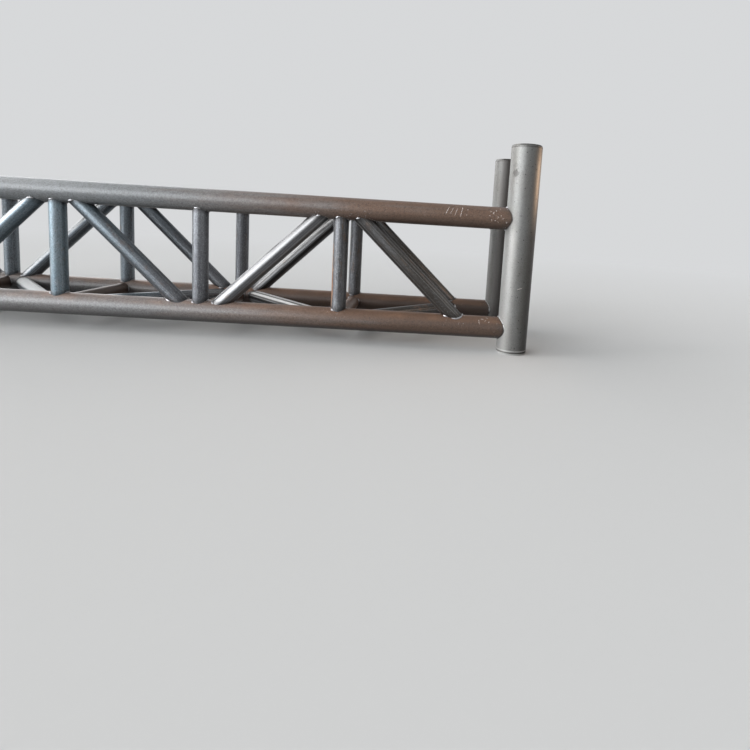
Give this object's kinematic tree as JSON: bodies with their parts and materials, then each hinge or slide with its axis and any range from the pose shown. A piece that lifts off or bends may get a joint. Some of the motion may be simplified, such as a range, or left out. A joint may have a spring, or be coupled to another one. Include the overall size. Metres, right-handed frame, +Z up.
{
  "type": "gantry box truss beam with end posts",
  "caption": "Box truss crossbeam of welded round steel tube for a height restriction gantry, with saddle-cut joints and an open upright post pipe at each corner.",
  "frame": {"origin": "on the floor under the middle of the beam, level with the feet of the posts", "axes": "+X along the beam to its right end, +Y from the front side to the rear side, +Z up"},
  "size_m": [6.799, 1.019, 1.5],
  "materials": {
    "post_steel": "bare pipe steel, light silver grey, satin, with small spots and scuffs",
    "chord_steel": "brown mill scale and light rust, soft sheen, speckled",
    "web_steel": "blue-grey drawn tube, semi-gloss, with warm scuffs",
    "strut_steel": "brown-grey mill scale, soft sheen"
  },
  "bodies": {
    "root": {"front_left_post": "post_steel", "front_right_post": "post_steel", "front_top_chord": "chord_steel", "front_bottom_chord": "chord_steel", "front_vertical_1": "web_steel", "front_vertical_2": "web_steel", "front_vertical_3": "web_steel", "front_vertical_4": "web_steel", "front_vertical_5": "web_steel", "front_diagonal_1": "web_steel", "front_diagonal_2": "web_steel", "front_diagonal_3": "web_steel", "front_diagonal_4": "web_steel", "front_diagonal_5": "web_steel", "front_diagonal_6": "web_steel", "rear_left_post": "post_steel", "rear_right_post": "post_steel", "rear_top_chord": "chord_steel", "rear_bottom_chord": "chord_steel", "rear_vertical_1": "web_steel", "rear_vertical_2": "web_steel", "rear_vertical_3": "web_steel", "rear_vertical_4": "web_steel", "rear_vertical_5": "web_steel", "rear_diagonal_1": "web_steel", "rear_diagonal_2": "web_steel", "rear_diagonal_3": "web_steel", "rear_diagonal_4": "web_steel", "rear_diagonal_5": "web_steel", "rear_diagonal_6": "web_steel", "top_strut_1": "strut_steel", "top_strut_2": "strut_steel", "top_strut_3": "strut_steel", "top_strut_4": "strut_steel", "top_strut_5": "strut_steel", "top_brace_1": "web_steel", "top_brace_2": "web_steel", "top_brace_3": "web_steel", "top_brace_4": "web_steel", "top_brace_5": "web_steel", "top_brace_6": "web_steel", "bottom_strut_1": "strut_steel", "bottom_strut_2": "strut_steel", "bottom_strut_3": "strut_steel", "bottom_strut_4": "strut_steel", "bottom_strut_5": "strut_steel", "bottom_brace_1": "web_steel", "bottom_brace_2": "web_steel", "bottom_brace_3": "web_steel", "bottom_brace_4": "web_steel", "bottom_brace_5": "web_steel", "bottom_brace_6": "web_steel"}
  },
  "joints": []
}
